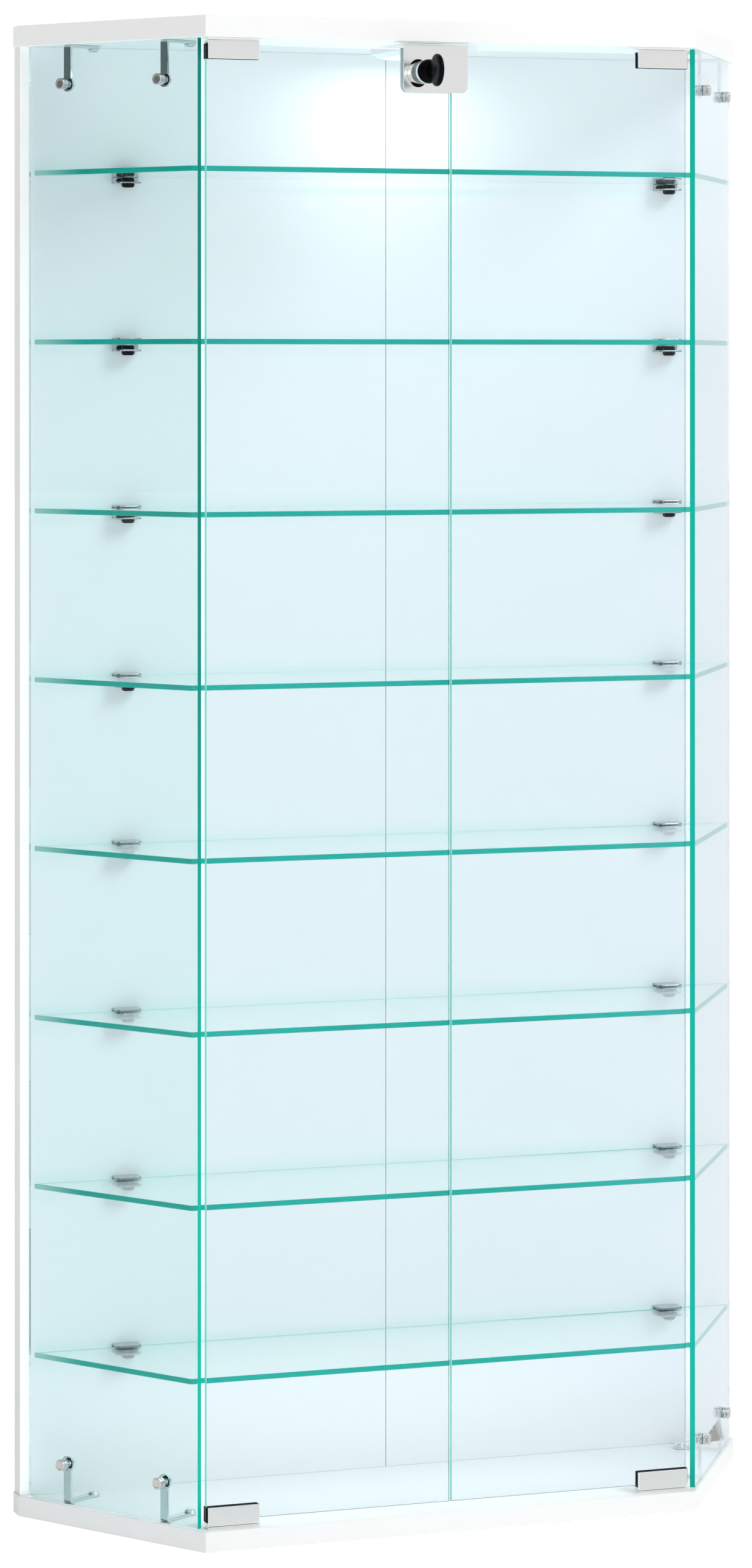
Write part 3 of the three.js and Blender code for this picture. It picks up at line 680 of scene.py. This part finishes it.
# ---------------------------------------------------------------- shelf clamps
def clamp_parts():
    """The C-shaped clamp. Its origin is on the back panel's face, level with the shelf's upper face."""
    half, depth, corner = CLAMP["width"] / 2, CLAMP["depth"], CLAMP["corner"]
    sheet, above, below, inset = CLAMP["sheet"], CLAMP["above"], CLAMP["below"], CLAMP["spine_inset"]
    steps = CLAMP["corner_steps"]
    outline = [(-half, 0), (-half, corner - depth)]
    for turn, centre in ((math.pi, corner - half), (1.5 * math.pi, half - corner)):
        for step in range(steps + 1):
            angle = turn + step / steps * math.pi / 2
            outline.append((centre + corner * math.cos(angle), corner - depth + corner * math.sin(angle)))
    outline.append((half, 0))
    outline = [point for point, after in zip(outline, outline[1:] + outline[:1])
               if (Vector(point) - Vector(after)).length > WELD]
    spine = [(-half, -sheet), (half, -sheet), (half, 0), (-half, 0)]
    return [
        # The sheets' roundings take material 1, a painted dark reflection.
        soften(prism(outline, above - sheet, above), ROUNDING["clamp_sheet"], painted_rim=1),
        soften(prism(outline, -below, sheet - below), ROUNDING["clamp_sheet"], painted_rim=1),
        soften(prism(spine, inset - below, above - inset), ROUNDING["clamp_spine"]),
    ]


def knob_parts():
    """The eight-sided screw knob under the shelf, with a dimple in its lower face."""
    radius, chamfer = KNOB["radius"], KNOB["chamfer"]
    top, bottom = -KNOB["top"] - KNOB["tip_height"], -KNOB["bottom"]
    dimple = bottom + KNOB["dimple"]
    profile = [
        (0, dimple), (0.45 * radius, dimple), (0.5 * radius, bottom), (radius - chamfer, bottom),
        (radius, bottom + chamfer), (radius, top - chamfer), (radius - chamfer, top), (0, top),
    ]
    body = placed(turned(profile, KNOB["sides"]), Matrix.Rotation(math.pi / KNOB["sides"], 4, "Z"))
    return [soften(body, ROUNDING["knob"])]


def tip_parts():
    """The end of the knob's screw, against the underside of the glass."""
    radius, height = KNOB["tip_radius"], KNOB["tip_height"]
    tip = [(0, 0), (radius, 0), (radius, height), (0, height)]
    return [placed(turned(tip, SMALL_TURN), Matrix.Translation((0, 0, -KNOB["top"] - height)))]


def add_shelf_clamps():
    for index in range(SHELF_COUNT):
        for side in SIDES:
            node = f"shelf_clamp_{index + 1}_{side}"
            low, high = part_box(node)
            place = Matrix.Translation(((low.x + high.x) / 2, high.y, high.z - CLAMP["above"]))
            made = piece(f"{node}_body", [placed(p, place) for p in clamp_parts()], "cabinet",
                         [CLAMP_CHROME_PAINTED_SHADE, CHROME_PAINTED_DARK_RIM], [node])
            even_shading(made)
            knob_place = place @ Matrix.Translation((0, -KNOB["setback"], 0))
            piece(f"{node}_knob", [placed(p, knob_place) for p in knob_parts()], "cabinet",
                  [PLASTIC])
            piece(f"{node}_screw_tip", [placed(p, knob_place) for p in tip_parts()], "cabinet",
                  [CHROME])


# ---------------------------------------------------------------- hinges
def grub_screw(place):
    """A small socket screw head, its face towards local +Z."""
    return placed(turned(softened(in_metres(GRUB_SCREW), ROUNDING["grub_screw"]), SMALL_TURN), place)


def add_hinges():
    for side in SIDES:
        door = f"{side}_door"
        for level in LEVELS:
            clamp = f"hinge_clamp_{level}_{side}"
            # The clamp's rounding takes material 1, a painted highlight.
            made = piece(f"{clamp}_body", soften(solid_of(clamp), ROUNDING["hinge_clamp"], 3, 1), door,
                         [BRUSHED_CLAMPS[level], PAINTED_HIGHLIGHT_RIM], [clamp])
            even_shading(made)
            low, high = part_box(clamp)
            height = high.z - GRUB_SCREW_EDGE if level == "bottom" else low.z + GRUB_SCREW_EDGE
            screws = []
            for share in GRUB_SCREW_SHARES:
                spot = Vector((low.x + share * (high.x - low.x), high.y, height))
                screws.append(grub_screw(Matrix.Translation(spot) @ Matrix.Rotation(-math.pi / 2, 4, "X")))
            piece(f"{clamp}_grub_screws", screws, door, [CHROME])
            gasket = f"hinge_gasket_{level}_{side}"
            liner = solid_of(gasket)
            low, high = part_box(gasket)
            shorter = 1 - 2 * LINER_SETBACK / (high.z - low.z)
            middle = Matrix.Translation((0, 0, (low.z + high.z) / 2))
            placed(liner, middle @ Matrix.Diagonal((1, 1, shorter, 1)) @ middle.inverted())
            piece(f"{gasket}_liner", soften(liner, ROUNDING["liner"]), door,
                  [RUBBER], [gasket])
            base = f"hinge_base_{level}_{side}"
            even_shading(piece(f"{base}_strip", soften(solid_of(base), ROUNDING["hinge_base"]), "cabinet",
                               [CHROME], [base]))


# ---------------------------------------------------------------- lock and key
def towards_front(distance):
    """Local +Z pointing forward along the lock's axis, from a distance in front of the plate's face."""
    spot = Vector((LOCK_AXIS.x, LOCK_FACE - distance, LOCK_AXIS.z))
    return Matrix.Translation(spot) @ Matrix.Rotation(math.pi / 2, 4, "X")


def inlay_mesh():
    """The black stadium-shaped washer behind the barrel, with a round hole for the plug."""
    reach, hole = INLAY["half_width"], INLAY["hole"]
    straight = INLAY["half_height"] - reach
    mesh = bmesh.new()
    rings = []
    for height in (0, INLAY["thickness"]):
        outer, inner = [], []
        for index in range(FINE_TURN):
            angle = 2 * math.pi * index / FINE_TURN
            side, up = math.cos(angle), math.sin(angle)
            shift = math.copysign(straight, up) if abs(up) > TINY else 0
            outer.append(mesh.verts.new((reach * side, reach * up + shift, height)))
            inner.append(mesh.verts.new((hole * side, hole * up, height)))
        rings.append((outer, inner))
    (outer_low, inner_low), (outer_high, inner_high) = rings
    for index in range(FINE_TURN):
        after = (index + 1) % FINE_TURN
        mesh.faces.new((outer_low[index], outer_low[after], outer_high[after], outer_high[index]))
        mesh.faces.new((inner_low[after], inner_low[index], inner_high[index], inner_high[after]))
        mesh.faces.new((outer_high[index], outer_high[after], inner_high[after], inner_high[index]))
        mesh.faces.new((outer_low[after], outer_low[index], inner_low[index], inner_low[after]))
    bmesh.ops.recalc_face_normals(mesh, faces=mesh.faces)
    return mesh


def barrel_mesh():
    """The round sleeve that the plug turns in, with a band of painted dark reflection round it."""
    radius, bore, length = BARREL["radius"], BARREL["bore"], BARREL["length"]
    start = INLAY["thickness"]
    painted_band_start, painted_band_end = BARREL["painted_dark_band"]
    corners = [
        (bore, start), (radius, start), (radius, painted_band_start),
        (radius, painted_band_end), (radius, length), (bore, length),
    ]
    profile = rounded(corners, [0, 0, 0, 0, ROUNDING["barrel_end"], ROUNDING["barrel_bore"]], 6)
    mesh = turned(profile, FINE_TURN, closed=True)
    for face in mesh.faces:
        centre = face.calc_center_median()
        outside = math.hypot(centre.x, centre.y) > (radius + bore) / 2
        if outside and painted_band_start < centre.z < painted_band_end:
            face.material_index = 1
    return mesh


def key_parts():
    """The key's collar against the barrel, and its round upright bow with a hollow in each face."""
    collar_radius, collar_length = KEY["collar"], KEY["collar_length"]
    collar = [
        (0, 0), (collar_radius, 0), (collar_radius, KEY["collar_straight"]),
        (0.9 * collar_radius, KEY["collar_shoulder"]),
        (KEY["collar_end"], collar_length), (0, collar_length),
    ]
    bow, half = KEY["bow"], KEY["bow_half"]
    lower = [
        (0, 0.7 * MM - half), (1.6 * MM, 0.65 * MM - half), (3.2 * MM, 0.1 * MM - half),
        (0.72 * bow, -half), (0.95 * bow, -0.72 * half), (bow, 0),
    ]
    bow_profile = lower + [(radius, -height) for radius, height in reversed(lower[:-1])]
    collar_place = towards_front(KEY["collar_start"])
    bow_place = towards_front(KEY["bow_centre"]) @ ALONG_X
    return [
        placed(turned(softened(collar, ROUNDING["key_collar"], 6), 72), collar_place),
        placed(turned(softened(bow_profile, ROUNDING["key_bow"], 5), FINE_TURN), bow_place),
    ]


def blade_mesh():
    thick, high = KEY["blade_half_thick"], KEY["blade_half_high"]
    outline = [(-thick, -high), (thick, -high), (thick, high), (-thick, high)]
    blade = soften(prism(outline, -KEY["blade_length"], KEY["blade_overlap"]), ROUNDING["key_blade"])
    return placed(blade, towards_front(KEY["collar_start"]))


def lock_plate_mesh():
    """The bent plate, with a pale colour painted on the faces that lie against the back of the glass:
    painted light where they lie in shade.
    """
    # The plate's rounding takes material 1, a painted highlight.
    mesh = soften(solid_of("lock_plate"), ROUNDING["lock_plate"], 3, 1)
    front = min(vertex.co.y for vertex in mesh.verts)
    for face in mesh.faces:
        if face.normal.y < -LEAF_FACING and face.calc_center_median().y > front + BACK_LEAF:
            face.material_index = 2
    return mesh


def add_lock():
    door = "left_door"
    even_shading(piece("lock_plate_body", lock_plate_mesh(), door,
                       [BRUSHED, PAINTED_HIGHLIGHT_RIM, LOCK_LEAF_PAINTED_LIGHT], ["lock_plate"]))
    piece("lock_plate_inlay", placed(inlay_mesh(), towards_front(0)), door, [PLASTIC])
    piece("lock_barrel_sleeve", placed(barrel_mesh(), towards_front(0)), door,
          [CHROME, CHROME_PAINTED_DARK_BAND], ["lock_barrel"])
    piece("lock_plug_body", soften(solid_of("lock_plug"), ROUNDING["plug"]), "lock_core",
          [BRUSHED], ["lock_plug"])
    piece("lock_cam_tongue", soften(solid_of("lock_cam"), ROUNDING["cam"]), "lock_core",
          [CHROME], ["lock_cam"])
    piece("key_head", key_parts(), "key", [PLASTIC], ["key"])
    piece("key_blade", blade_mesh(), "key", [BRUSHED])
    piece("strike_plate_strip", soften(solid_of("strike_plate"), ROUNDING["strike_plate"]), "cabinet",
          [BRUSHED], ["strike_plate"])


# ---------------------------------------------------------------- lamp
def add_lamp():
    even_shading(piece("lamp_housing_shell", soften(solid_of("lamp_housing"), ROUNDING["lamp_housing"], 3),
                       "cabinet", [LAMP_SHELL], ["lamp_housing"]))
    piece("lamp_lens_diffuser", soften(solid_of("lamp_lens"), ROUNDING["lamp_lens"]), "cabinet",
          [LAMP_LENS], ["lamp_lens"])


add_boards()
add_glass()
add_brackets()
add_shelf_clamps()
add_hinges()
add_lock()
add_lamp()


# ---------------------------------------------------------------- stage, light and camera
def mirrored_share(tree):
    """1 for what a reflection shows, 0 for what is seen directly, through glass or by a dull surface."""
    path = add(tree, "ShaderNodeLightPath")
    bounced = add(tree, "ShaderNodeMath", {
        0: path.outputs["Glossy Depth"], 1: 1.0}, operation="MINIMUM").outputs[0]
    return add(tree, "ShaderNodeMath", {
        0: bounced, 1: path.outputs["Is Glossy Ray"]}, operation="MULTIPLY").outputs[0]


def add_floor():
    """A pale floor that glows a little, so that it meets the white backdrop without a line."""
    data = bpy.data.meshes.new("floor")
    around = ((-1, -1), (1, -1), (1, 1), (-1, 1))
    corners = [(x * FLOOR_REACH, y * FLOOR_REACH, FLOOR_LEVEL) for x, y in around]
    data.from_pydata(corners, [], [(0, 1, 2, 3)])
    floor = bpy.data.objects.new("floor", data)
    bpy.context.scene.collection.objects.link(floor)
    material, tree, shader = new_material("floor", roughness=0.9, specular_ior_level=0.1)
    cloud = noise(tree, stretched(tree, (1.5, 1.5, 1.5)), 2.0)
    shade = blended(tree, cloud, (0.93, 0.93, 0.93), (0.945, 0.945, 0.945))
    tree.links.new(shade, shader.inputs["Base Color"])
    shader.inputs["Emission Color"].default_value = (1, 1, 1, 1)
    glow = add(tree, "ShaderNodeMapRange", {
        "Value": mirrored_share(tree), "To Min": FLOOR_GLOW, "To Max": FLOOR_GLOW_MIRRORED})
    tree.links.new(glow.outputs["Result"], shader.inputs["Emission Strength"])
    data.materials.append(material)


def add_light(name, kind, place, direction, strength):
    """Any light, at a place and shining in a direction."""
    data = bpy.data.lights.new(name, kind)
    data.energy = strength
    light = bpy.data.objects.new(name, data)
    bpy.context.scene.collection.objects.link(light)
    light.location = place
    light.rotation_euler = direction.to_track_quat("-Z", "Y").to_euler()
    return light


def add_sun(name, place, softness, strength):
    """Even light from far away, from the direction of a place seen from the origin."""
    light = add_light(name, "SUN", place, -Vector(place), strength)
    light.data.angle = math.radians(softness)


def add_area_light(name, place, target, width, depth, power, colour):
    """A lit rectangle inside the cabinet, hidden from the camera and from reflections."""
    light = add_light(name, "AREA", place, Vector(target) - Vector(place), power)
    light.data.shape = "RECTANGLE"
    light.data.size = width
    light.data.size_y = depth
    light.data.color = colour
    light.visible_camera = False
    light.visible_glossy = False


def add_world():
    """Even soft light, white behind the cabinet, and a banded studio that metal and glass mirror."""
    world = bpy.data.worlds.new("studio")
    bpy.context.scene.world = world
    world.use_nodes = True
    tree = world.node_tree
    tree.nodes.clear()
    place = add(tree, "ShaderNodeTexCoord")
    along = add(tree, "ShaderNodeSeparateXYZ", {"Vector": place.outputs["Generated"]})
    height = add(tree, "ShaderNodeMapRange", {
        "Value": along.outputs["Z"], "From Min": -1.0, "From Max": 1.0})
    bands = add(tree, "ShaderNodeValToRGB", {"Fac": height.outputs["Result"]})
    stops = bands.color_ramp.elements
    stops[0].position, stops[0].color = 0.0, (1, 1, 1, 1)
    stops[1].position, stops[1].color = 1.0, ZENITH
    for level, shade in STUDIO_BANDS:
        stop = stops.new((level + 1) / 2)
        stop.color = (shade, shade, shade, 1)
    left = ramp_down(tree, along.outputs["X"], DARK_SIDE["full"], DARK_SIDE["none"])
    above = ramp_down(tree, along.outputs["Z"], DARK_SIDE_FOOT["full"], DARK_SIDE_FOOT["none"])
    dark = add(tree, "ShaderNodeMath", {0: left, 1: above}, operation="MULTIPLY").outputs[0]
    studio = add(tree, "ShaderNodeMix", {
        "Factor": dark, MIX_FIRST: bands.outputs["Color"], MIX_SECOND: DARK_SIDE["colour"]},
        data_type="RGBA")
    seen = add(tree, "ShaderNodeMix", {
        "Factor": mirrored_share(tree), MIX_FIRST: BACKDROP, MIX_SECOND: studio.outputs[MIX_RESULT]},
        data_type="RGBA")
    path = add(tree, "ShaderNodeLightPath")
    soft = add(tree, "ShaderNodeBackground", {"Color": WORLD_COLOUR, "Strength": WORLD_STRENGTH})
    sharp = add(tree, "ShaderNodeBackground", {"Color": seen.outputs[MIX_RESULT], "Strength": 1.0})
    mix = add(tree, "ShaderNodeMixShader", {
        0: path.outputs["Is Diffuse Ray"], 1: sharp.outputs[0], 2: soft.outputs[0]})
    add(tree, "ShaderNodeOutputWorld", {"Surface": mix.outputs[0]})


def add_camera():
    data = bpy.data.cameras.new("camera")
    data.lens = CAMERA["lens"]
    data.sensor_width = CAMERA["sensor"]
    data.shift_y = CAMERA["shift"]
    camera = bpy.data.objects.new("camera", data)
    camera.location = CAMERA["place"]
    camera.rotation_euler = CAMERA["turn"]
    bpy.context.scene.collection.objects.link(camera)
    bpy.context.scene.camera = camera


add_floor()
add_world()
add_camera()
for sun in SUNS:
    add_sun(*sun)
for area in AREA_LIGHTS:
    add_area_light(*area)

scene = bpy.context.scene
scene.view_settings.view_transform = "Standard"
for limit, count in BOUNCES.items():
    setattr(scene.cycles, limit, count)
